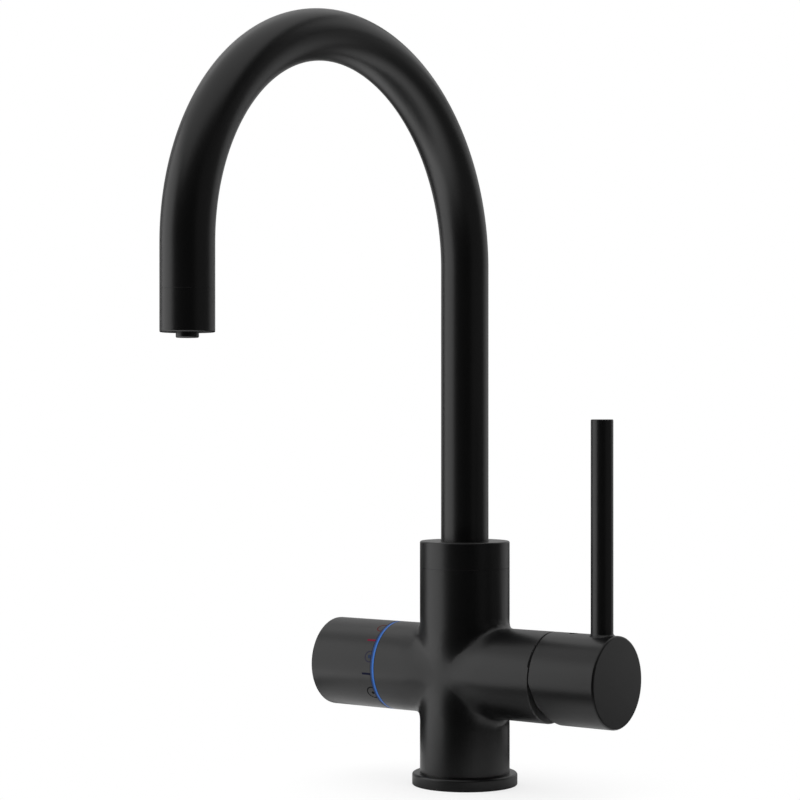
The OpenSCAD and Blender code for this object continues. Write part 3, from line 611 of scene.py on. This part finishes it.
class Finishes(dict):
    """The finishes, each made when it is first asked for."""

    def __missing__(self, slot):
        c = colours()
        makers = {
            "black_coat": coat_finish,
            "brass": brass_finish,
            "steel": lambda: metal_finish("steel_turned", tuple(c.steel), 0.28),
            "rubber_seal": lambda: plastic_finish("rubber_black", tuple(c.rubber), 0.6, 0.0004),
            "white_plastic": lambda: plastic_finish("white_moulded", tuple(c.white_plastic)),
            "grey_plastic": lambda: plastic_finish("grey_moulded", tuple(c.grey_plastic)),
            "ceramic": lambda: plastic_finish("ceramic_lapped", tuple(c.ceramic), 0.2, 0.002),
            "indicator_blue": blue_finish,
        }
        self[slot] = makers[slot]()
        return self[slot]


FINISHES = Finishes()


def printed(name, shade):
    """Matt ink, a little uneven."""
    finish = Finish(name, tuple(shade), 0.6, Specular_IOR_Level=0.08)
    finish.set("Base Color", finish.mix(finish.noise(0.0012), scaled(shade, 0.8), scaled(shade, 1.15)))
    finish.bump(finish.noise(0.0003, 1), 0.00001)
    return finish.material


# Pieces


class TAP_OT_casting(Operator):
    """Column with its two arms, from the blended CAD body, with its seams' edges broken"""

    bl_idname = "tap.casting"
    bl_label = "Body casting"

    SKIN = 5e-5  # a facet's middle lies this far under the round skin at most
    CUT_REACH, BLEND_REACH = 1.3, 1.25  # how far the small faces and the blend reach, in radii of the column
    LEAST = 0.02  # points that the blend moves less than this share stay as they are
    MERGE = 0.6  # points of the crease closer than this share of the grid become one

    def execute(self, context):
        piece = copy_of("body_casting", "body_casting_shell")
        self.grid(piece)
        self.soften(piece)
        round_edges(piece, circle(ARM_AXIS, X, BODY_R, high("body_casting").x), sizes().arm_edge, 3)
        settle(piece, "tap_body", "black_coat", "body_casting", sharp=30)
        return {"FINISHED"}

    @staticmethod
    def skin(point):
        """Whether a point lies on the outer skin of the column or an arm."""
        across = (point.x**2 + point.y**2) ** 0.5
        along = (point.y**2 + (point.z - ARM_AXIS.z) ** 2) ** 0.5
        return min(across, along) > BODY_R - TAP_OT_casting.SKIN

    def grid(self, piece):
        """Cuts the skin round the crossing into small faces; a spare material slot marks the skin meanwhile."""
        step = sizes().crossing_grid
        rows = int(self.CUT_REACH * BODY_R / step)
        points = piece.data.vertices
        piece.data.materials.clear()
        for _ in range(2):
            piece.data.materials.append(None)
        for face in piece.data.polygons:
            face.material_index = int(all(self.skin(points[i].co) for i in face.vertices))
        edit(piece, "FACE")
        piece.active_material_index = 1
        bpy.ops.object.mode_set(mode="EDIT")
        for axis in (X, Z):
            for n in range(-rows, rows):
                bpy.ops.mesh.select_all(action="DESELECT")
                bpy.ops.object.material_slot_select()
                bpy.ops.mesh.bisect(plane_co=ARM_AXIS + axis * (n + 0.5) * step, plane_no=axis)
        bpy.ops.object.mode_set(mode="OBJECT")
        for face in piece.data.polygons:
            face.material_index = 0

    def softness(self, co):
        """How far the soft blend moves a point: most at the crease, and furthest in front and at the back."""
        s = sizes()
        if not self.skin(co) or max(abs(co.x), abs(co.z - ARM_AXIS.z)) > self.BLEND_REACH * BODY_R:
            return 0
        reach = s.crease_side + (s.crease_front - s.crease_side) * (abs(co.y) / BODY_R) ** 2
        off = abs(abs(co.x) - abs(co.z - ARM_AXIS.z)) / 2**0.5 / reach
        return max(0, 1 - off * off) ** 2

    def soften(self, piece):
        """Smooths the crease where the column and the arms meet."""
        s = sizes()
        edit(piece, "VERT")
        for point in piece.data.vertices:
            point.select = self.softness(point.co) > self.LEAST
        bpy.ops.object.mode_set(mode="EDIT")
        bpy.ops.mesh.remove_doubles(threshold=self.MERGE * s.crossing_grid)
        bpy.ops.object.mode_set(mode="OBJECT")
        group = piece.vertex_groups.new(name="crease")
        for point in piece.data.vertices:
            weight = self.softness(point.co)
            if weight:
                group.add([point.index], weight, "REPLACE")
        modify(piece, "SMOOTH", factor=0.5, iterations=s.crease_passes, vertex_group="crease")
        piece.vertex_groups.clear()


class TAP_OT_flange(Operator):
    """Base flange with its rounded top edge and the groove of its seal"""

    bl_idname = "tap.flange"
    bl_label = "Base flange"

    def execute(self, context):
        s = sizes()
        outer, top = high("base_flange").x, high("base_flange").z
        seal_out, seal_top = high("base_seal").x + NEAR, high("base_seal").z
        seal_in = seal_out - s.seal_groove
        piece = turned(
            "base_flange_ring", Vector(), Z, X,
            [(s.flange_bore, 0), (seal_in, 0), (seal_in, seal_top), (seal_out, seal_top), (seal_out, 0),
             (outer, 0), (outer, top), (s.flange_bore, top)],
        )
        round_edges(piece, circle(Vector(), Z, outer, top), s.flange_edge)
        round_edges(piece, circle(Vector(), Z, outer, 0), s.flange_foot_edge)
        settle(piece, "tap_body", "black_coat", "base_flange")
        return {"FINISHED"}


class TAP_OT_collar(Operator):
    """Screwed collar on top of the column"""

    bl_idname = "tap.collar"
    bl_label = "Spout collar"

    def execute(self, context):
        s = sizes()
        bottom, top = low("spout_collar").z, high("spout_collar").z
        bore = PIPE_R + s.pipe_gap
        piece = turned(
            "spout_collar_ring", Vector(), Z, X,
            [(bore, top - s.collar_roof), (s.collar_thread, top - s.collar_roof), (s.collar_thread, bottom),
             (BODY_R, bottom), (BODY_R, top), (bore, top)],
        )
        round_edges(piece, circle(Vector(), Z, BODY_R, top), s.collar_edge)
        round_edges(piece, circle(Vector(), Z, BODY_R, bottom), s.break_edge, 2)
        round_edges(piece, circle(Vector(), Z, bore, top), s.break_edge, 2)
        settle(piece, "tap_body", "black_coat", "spout_collar")
        return {"FINISHED"}


class TAP_OT_gooseneck(Operator):
    """Spout pipe: a circle drawn up, spun over the arch and drawn down, then given its wall"""

    bl_idname = "tap.gooseneck"
    bl_label = "Gooseneck"

    def execute(self, context):
        s = sizes()
        bottom = low("spout_tube").z
        seam = high("outlet_housing").z - s.outlet_sleeve
        clear()
        bpy.ops.mesh.primitive_circle_add(vertices=96, radius=PIPE_R, location=(0, 0, 0))
        piece = start("gooseneck_pipe")
        bpy.ops.transform.translate(value=(0, 0, bottom))
        bpy.ops.mesh.extrude_region_move(TRANSFORM_OT_translate={"value": (0, 0, ARCH_CENTRE.z - bottom)})
        bpy.ops.mesh.spin(steps=s.steps, angle=pi, center=ARCH_CENTRE, axis=-X)
        bpy.ops.mesh.extrude_region_move(TRANSFORM_OT_translate={"value": (0, 0, seam - ARCH_CENTRE.z)})
        close()
        modify(piece, "SOLIDIFY", thickness=s.pipe_wall, offset=-1)
        round_edges(piece, circle(TIP_AXIS, Z, PIPE_R, seam), s.seam_edge, 2)
        settle(piece, "spout", "black_coat", "spout_tube")
        return {"FINISHED"}


class TAP_OT_outlet(Operator):
    """Outlet housing at the spout's end and the nozzle in its middle"""

    bl_idname = "tap.outlet"
    bl_label = "Outlet"

    def execute(self, context):
        s = sizes()
        tip, top = low("outlet_housing").z, high("outlet_housing").z
        seam = top - s.outlet_sleeve
        sleeve = PIPE_R - s.pipe_wall - NEAR
        bore = PIPE_R - s.pipe_wall - s.outlet_wall
        seat = high("flow_insert").x + NEAR
        step = high("flow_insert").z + s.washer
        housing = turned(
            "outlet_housing_ring", TIP_AXIS, Z, X,
            [(seat, tip), (PIPE_R, tip), (PIPE_R, seam), (sleeve, seam), (sleeve, top), (bore, top), (bore, step),
             (seat, step)],
        )
        round_edges(housing, circle(TIP_AXIS, Z, PIPE_R, tip), s.outlet_edge)
        round_edges(housing, circle(TIP_AXIS, Z, seat, tip), s.break_edge, 2)
        round_edges(housing, circle(TIP_AXIS, Z, PIPE_R, seam), s.seam_edge, 2)
        settle(housing, "spout", "black_coat", "outlet_housing")

        rim_z = high("flow_insert").z
        rim = high("outlet_nozzle").x
        low_end, high_end = low("outlet_nozzle").z, high("outlet_nozzle").z
        nozzle = turned(
            "outlet_nozzle_tube", TIP_AXIS, Z, X,
            [(s.nozzle_bore, low_end), (s.nozzle_radius, low_end), (s.nozzle_radius, rim_z), (rim, rim_z),
             (rim, rim_z + s.nozzle_rim), (s.nozzle_radius, rim_z + s.nozzle_rim), (s.nozzle_radius, high_end),
             (s.nozzle_seat, high_end), (s.nozzle_seat, rim_z - s.nozzle_plug),
             (s.nozzle_bore, rim_z - s.nozzle_plug)],
        )
        round_edges(nozzle, circle(TIP_AXIS, Z, s.nozzle_radius, low_end), s.outlet_edge)
        round_edges(nozzle, circle(TIP_AXIS, Z, s.nozzle_bore, low_end), s.break_edge, 2)
        settle(nozzle, "spout", "black_coat", "outlet_nozzle")
        return {"FINISHED"}


class TAP_OT_lever(Operator):
    """Lever cap with its sloping cut, grub hole and rod pocket, and the rod"""

    bl_idname = "tap.lever"
    bl_label = "Lever"

    def execute(self, context):
        s = sizes()
        back, end = low("lever_cap").x, high("lever_cap").x
        hub = end - s.cap_solid
        inner = BODY_R - s.cap_wall
        cap = turned(
            "lever_cap_shell", ARM_AXIS, X, Z,
            [(0, back + s.boss_inset), (s.boss_radius, back + s.boss_inset), (s.boss_radius, hub), (inner, hub),
             (inner, back), (BODY_R, back), (BODY_R, end), (0, end)], closed=False,
        )
        round_edges(cap, circle(ARM_AXIS, X, BODY_R, end), s.cap_edge)
        round_edges(cap, circle(ARM_AXIS, X, BODY_R, back), s.cap_back_edge, 3)
        self.slope(cap, back)
        grub_x = back + s.grub_inset
        rod_x = (low("lever_rod").x + high("lever_rod").x) / 2
        rod_r = (high("lever_rod").x - low("lever_rod").x) / 2
        seat = BODY_R - s.rod_pocket
        pocket = rod_r + s.rod_gap
        beyond = BODY_R + PAST
        drill(
            cap, ARM_AXIS + X * grub_x, Z, X,
            [(0, s.boss_radius), (s.grub_hole, s.boss_radius), (s.grub_hole, beyond), (0, beyond)],
        )
        drill(
            cap, ARM_AXIS + X * rod_x, Z, X,
            [(0, seat - s.rod_stud_length), (s.rod_stud, seat - s.rod_stud_length), (s.rod_stud, seat),
             (pocket, seat), (pocket, beyond), (0, beyond)],
        )
        settle(cap, "lever", "black_coat", "lever_cap")

        top = high("lever_rod").z - ARM_AXIS.z
        rod_axis = ARM_AXIS + X * rod_x
        rod = turned(
            "lever_rod_bar", rod_axis, Z, X,
            [(0, seat - s.rod_stud_length), (s.rod_stud - NEAR, seat - s.rod_stud_length),
             (s.rod_stud - NEAR, seat), (rod_r, seat), (rod_r, top), (0, top)], closed=False,
        )
        round_edges(rod, circle(rod_axis, Z, rod_r, top), s.rod_edge)
        round_edges(rod, circle(rod_axis, Z, rod_r, seat), s.break_edge, 2)
        settle(rod, "lever", "black_coat", "lever_rod")
        self.foot(rod_axis, rod_r)
        return {"FINISHED"}

    def foot(self, rod_axis, rod_r):
        """A fillet turned round the rod's foot, its outer rim let down onto the cap's round top."""
        s = sizes()
        reach, inner, sunk = s.rod_foot, rod_r - s.rod_foot_lap, BODY_R - s.rod_foot_sink
        turns = [pi / 2 * i / s.rod_foot_steps for i in range(s.rod_foot_steps + 1)]
        outline = [(rod_r + reach * (1 - cos(turn)), BODY_R + reach * (1 - sin(turn))) for turn in turns]
        skirt = [(rod_r + reach, sunk), (inner, sunk), (inner, BODY_R + reach)]
        foot = turned("lever_rod_foot", rod_axis, Z, X, outline + skirt)
        for point in foot.data.vertices:
            share = max(0, ((point.co - rod_axis).xy.length - rod_r) / reach)
            point.co.z -= share * (BODY_R - (BODY_R**2 - point.co.y**2) ** 0.5)
        settle(foot, "lever", "black_coat", sharp=40)

    def slope(self, cap, back):
        """Cuts the underside of the cap's back away on a slope."""
        run = 2 * BODY_R
        clear()
        bpy.ops.mesh.primitive_cube_add(size=1)
        wedge = start("wedge")
        bpy.ops.transform.resize(value=(run, 2 * run, run))
        bpy.ops.transform.translate(value=(back - run / 2, 0, ARM_AXIS.z - run / 2))
        bpy.ops.object.mode_set(mode="OBJECT")
        edit(wedge, "VERT")
        for point in wedge.data.vertices:
            point.select = point.co.x > back - run / 4 and point.co.z < ARM_AXIS.z - run / 2
        bpy.ops.object.mode_set(mode="EDIT")
        bpy.ops.transform.translate(value=(run * tan(sizes().cap_slope), 0, 0))
        bpy.ops.object.mode_set(mode="OBJECT")
        cut(cap, wedge)


class TAP_OT_selector(Operator):
    """Selector knob with its grub hole, and the indicator ring"""

    bl_idname = "tap.selector"
    bl_label = "Selector"

    def execute(self, context):
        s = sizes()
        back, end = -high("selector_knob").x, -low("selector_knob").x
        floor = end - s.knob_end_wall
        inner = BODY_R - s.knob_wall
        spindle = -low("selector_spindle").x
        grub_x = -(low("knob_grub_screw").x + high("knob_grub_screw").x) / 2
        hub_start = 2 * grub_x - spindle
        out = -X
        knob = turned(
            "selector_knob_cap", ARM_AXIS, out, Z,
            [(0, spindle), (s.knob_socket, spindle), (s.knob_socket, hub_start), (s.knob_hub, hub_start),
             (s.knob_hub, floor), (inner, floor), (inner, back), (BODY_R, back), (BODY_R, end), (0, end)],
            closed=False,
        )
        round_edges(knob, circle(ARM_AXIS, out, BODY_R, end), s.knob_edge)
        round_edges(knob, circle(ARM_AXIS, out, BODY_R, back), s.seam_edge, 2)
        hole, beyond = s.knob_grub_hole, BODY_R + PAST
        drill(
            knob, ARM_AXIS - X * grub_x, -Z, X,
            [(0, s.knob_hub), (hole, s.knob_hub), (hole, beyond), (0, beyond)],
        )
        settle(knob, "selector", "black_coat", "selector_knob")

        start_x, end_x = -high("indicator_ring").x, -low("indicator_ring").x
        bore = high("selector_bonnet").y - s.bonnet_rim + NEAR
        ring = turned(
            "indicator_ring_band", ARM_AXIS, out, Z,
            [(bore, start_x), (BODY_R, start_x), (BODY_R, start_x + s.ring_band),
             (BODY_R - s.ring_step, start_x + s.ring_band), (BODY_R - s.ring_step, end_x + s.ring_lip),
             (bore, end_x + s.ring_lip)],
        )
        settle(ring, "tap_body", "indicator_blue", "indicator_ring")
        return {"FINISHED"}


class TAP_OT_marks(Operator):
    """Print round the knob's edge: two ticks and three rings with dots, each drawn flat on top and wrapped round"""

    bl_idname = "tap.marks"
    bl_label = "Selector marks"

    def execute(self, context):
        s, c = sizes(), colours()
        edge = high("selector_knob").x - s.seam_edge
        middle = edge - s.ring_offset
        self.ring("mark_hot_ring", middle, s.hot_ring, s.hot_ring_turn, c.dark_red)
        self.tick("mark_hot_tick", edge, s.hot_tick_turn, c.crimson)
        self.ring("mark_middle_ring", middle, s.warm_ring, s.middle_turn, c.grey)
        self.dot("mark_middle_dot", middle, s.middle_dot, s.middle_turn, c.mid_blue)
        self.tick("mark_cold_tick", edge, s.cold_tick_turn, c.dark_blue)
        self.ring("mark_cold_ring", middle, s.cold_ring, s.cold_ring_turn, c.print_black)
        self.dot("mark_cold_dot", middle, s.mark_dot, s.cold_ring_turn, c.print_black)
        return {"FINISHED"}

    def ring(self, name, x, radius, turn, shade):
        """A thin printed ring, cut off at the knob's edge."""
        clear()
        bpy.ops.mesh.primitive_circle_add(vertices=48, radius=radius, fill_type="NGON", location=(0, 0, 0))
        piece = start(name)
        bpy.ops.mesh.select_mode(type="FACE")
        bpy.ops.mesh.select_all(action="SELECT")
        bpy.ops.mesh.inset(thickness=sizes().mark_line)
        bpy.ops.mesh.delete(type="FACE")
        self.wrap(piece, x, turn, shade)

    def dot(self, name, x, radius, turn, shade):
        """A round printed dot."""
        clear()
        bpy.ops.mesh.primitive_circle_add(vertices=24, radius=radius, fill_type="NGON", location=(0, 0, 0))
        piece = start(name)
        self.wrap(piece, x, turn, shade)

    def tick(self, name, edge, turn, shade):
        """A short bar that runs from the knob's edge along its skin."""
        s = sizes()
        clear()
        bpy.ops.mesh.primitive_plane_add(size=1, location=(0, 0, 0))
        piece = start(name)
        bpy.ops.transform.resize(value=(s.tick_length, s.tick_width, 1))
        self.wrap(piece, edge - s.tick_length / 2, turn, shade)

    def wrap(self, piece, x, turn, shade):
        """Cuts the flat mark off at the knob's edge, lays it on top of the knob and turns it to its place."""
        s = sizes()
        knob = bpy.data.objects["selector_knob_cap"]
        edge = high("selector_knob").x - s.seam_edge
        bpy.ops.mesh.select_all(action="SELECT")
        bpy.ops.transform.translate(value=(x, 0, ARM_AXIS.z + BODY_R + PAST))
        bpy.ops.mesh.bisect(plane_co=(edge, 0, 0), plane_no=X, clear_outer=True)
        close()
        modify(
            piece, "SHRINKWRAP", target=knob, wrap_method="PROJECT", use_project_z=True,
            use_positive_direction=False, use_negative_direction=True,
        )
        take(piece)
        bpy.ops.object.mode_set(mode="EDIT")
        bpy.ops.mesh.select_all(action="SELECT")
        bpy.ops.transform.rotate(
            value=turn - pi / 2, orient_axis="X", orient_type="GLOBAL", center_override=ARM_AXIS
        )
        bpy.ops.object.mode_set(mode="OBJECT")
        modify(piece, "SOLIDIFY", thickness=2 * s.mark_height, offset=0)
        settle(piece, "selector", "black_coat", material=printed(piece.name + "_ink", shade))


class TAP_OT_fittings(Operator):
    """Inner pieces that show at the wedge, the foot, the outlet and the screw holes, with smooth round faces"""

    bl_idname = "tap.fittings"
    bl_label = "Fittings that show"

    def execute(self, context):
        slots = {row["node"]: row["material_slot"] for row in frame["record"]["subparts"]}
        for node, body in (
            ("cover_dome", "tap_body"), ("cartridge_nut", "tap_body"), ("base_seal", "tap_body"),
            ("inlet_manifold", "tap_body"), ("flow_insert", "spout"), ("lever_grub_screw", "lever"),
            ("knob_grub_screw", "selector"), ("inner_water_tube", "spout"),
        ):
            settle(copy_of(node, node + "_smooth"), body, slots[node], node, sharp=30)
        return {"FINISHED"}


class TAP_OT_inside(Operator):
    """Gives the CAD pieces that stay their finishes"""

    bl_idname = "tap.inside"
    bl_label = "Inner pieces"

    def execute(self, context):
        for row in frame["record"]["subparts"]:
            node = frame["nodes"][row["node"]]
            for holder in node.material_slots:
                holder.material = FINISHES[row["material_slot"]]
        return {"FINISHED"}


class TAP_OT_studio(Operator):
    """Camera, pale floor, soft boxes and white surroundings"""

    bl_idname = "tap.studio"
    bl_label = "Studio"

    TARGET = Vector((0, 0, 0.15))  # what the soft boxes face
    FLOOR_R = 0.16

    def execute(self, context):
        studio = context.scene.tap_studio
        clear()
        bpy.ops.object.camera_add(location=tuple(studio.eye), rotation=(pi / 2, 0, studio.heading))
        camera = context.object
        camera.data.lens = studio.lens
        camera.data.sensor_width = 36
        camera.data.shift_y = studio.shift
        context.scene.camera = camera
        context.scene.view_settings.view_transform = "Standard"

        self.floor()
        for name, place in SOFT_BOXES.items():
            self.box(name, *place, getattr(studio, name))
        self.room(studio)
        return {"FINISHED"}

    def box(self, name, azimuth, elevation, distance, width, height, radiance):
        """A soft box that faces the tap's middle."""
        turn, lift = radians(azimuth), radians(elevation)
        way = Vector((cos(lift) * cos(turn), cos(lift) * sin(turn), sin(lift)))
        bpy.ops.object.light_add(
            type="AREA", location=self.TARGET + way * distance, rotation=(-way).to_track_quat("-Z", "Y").to_euler()
        )
        lamp = bpy.context.object
        lamp.visible_camera = False
        lamp.name = name
        lamp.data.shape = "RECTANGLE"
        lamp.data.size, lamp.data.size_y = width, height
        lamp.data.energy = radiance * width * height * pi

    def floor(self):
        """A pale disc that keeps the tap's shadow, turns white outwards and has its own brightness in gloss."""
        clear()
        bpy.ops.mesh.primitive_circle_add(vertices=96, radius=self.FLOOR_R, fill_type="NGON")
        floor = start("floor")
        bpy.ops.mesh.inset(thickness=self.FLOOR_R / 2)
        bpy.ops.object.mode_set(mode="OBJECT")
        finish = Finish("pale_floor", tuple(colours().floor), 0.8)
        seen, glossy, passed = finish.rays()
        distance = finish.node("ShaderNodeVectorMath", {"operation": "LENGTH"}, {0: finish.place}, "Value")
        beside = finish.math("ABSOLUTE", finish.part("X"))
        ahead = finish.math("ABSOLUTE", finish.part("Y")) + finish.fade(finish.part("X"), *RIGHT_SHIFT)
        beyond = finish.math("MAXIMUM", finish.fade(ahead, *DARK_AHEAD), finish.fade(beside, *DARK_BESIDE))
        dim = finish.math("MAXIMUM", finish.fade(beside, *DIM_MIDDLE), beyond)
        white = finish.node("ShaderNodeEmission", {}, {"Color": (1, 1, 1, 1), "Strength": 1.0})
        dark = finish.node("ShaderNodeEmission", {}, {"Strength": 0.0})
        shown = (seen + passed) * finish.fade(distance, *WHITE_AWAY)
        lit = finish.node("ShaderNodeMixShader", {}, {0: shown, 1: Field(finish, finish.shader.outputs[0]), 2: white})
        dimmed = finish.node("ShaderNodeMixShader", {}, {0: glossy * dim, 1: lit, 2: dark})
        finish.feed(finish.tree.nodes["Material Output"].inputs["Surface"], dimmed)
        floor.data.materials.append(finish.material)

    def room(self, studio):
        """White where the camera looks past the tap, plain light for matt surfaces, dim in the gloss."""
        world = bpy.data.worlds.new("studio_room")
        bpy.context.scene.world = world
        world.use_nodes = True
        world.node_tree.nodes.clear()
        air = Nodes(world.node_tree)
        seen, glossy, passed = air.rays()
        way = air.node("ShaderNodeTexCoord", output="Generated")
        height = air.node("ShaderNodeSeparateXYZ", {}, {"Vector": way}, "Z")
        below = air.fade(height, *SWEEP_BELOW, studio.room_gloss, studio.sweep)
        matt = 1 - seen - glossy - passed
        level = seen + passed + glossy * below + matt * studio.room
        sky = air.node("ShaderNodeBackground", {}, {"Color": (1, 1, 1, 1), "Strength": level})
        air.node("ShaderNodeOutputWorld", {}, {"Surface": sky}, None)


class TAP_PT_panel(Panel):
    """Sizes, colours and the pieces in the order in which they are built"""

    bl_idname = "TAP_PT_panel"
    bl_label = "Kitchen tap"
    bl_space_type = "VIEW_3D"
    bl_region_type = "UI"
    bl_category = "Tap"

    def draw(self, context):
        for group in (context.scene.tap_sizes, context.scene.tap_colours, context.scene.tap_studio):
            box = self.layout.box()
            for name in group.__annotations__:
                box.prop(group, name)
        for operator in PIECES:
            self.layout.operator(operator.bl_idname)


PIECES = (
    TAP_OT_studio,
    TAP_OT_inside,
    TAP_OT_casting,
    TAP_OT_flange,
    TAP_OT_collar,
    TAP_OT_gooseneck,
    TAP_OT_outlet,
    TAP_OT_lever,
    TAP_OT_selector,
    TAP_OT_marks,
    TAP_OT_fittings,
)
GROUPS = {"tap_sizes": TapSizes, "tap_colours": TapColours, "tap_studio": TapStudio}


def register():
    for cls in (*GROUPS.values(), *PIECES, TAP_PT_panel):
        bpy.utils.register_class(cls)
    for name, group in GROUPS.items():
        setattr(bpy.types.Scene, name, PointerProperty(type=group))


def unregister():
    for name in GROUPS:
        delattr(bpy.types.Scene, name)
    for cls in reversed((*GROUPS.values(), *PIECES, TAP_PT_panel)):
        bpy.utils.unregister_class(cls)


def main():
    """Builds the tap."""
    register()
    for operator in PIECES:
        module, name = operator.bl_idname.split(".")
        getattr(getattr(bpy.ops, module), name)()
    clear()
    bpy.context.view_layer.update()


if __name__ == "__main__":
    main()
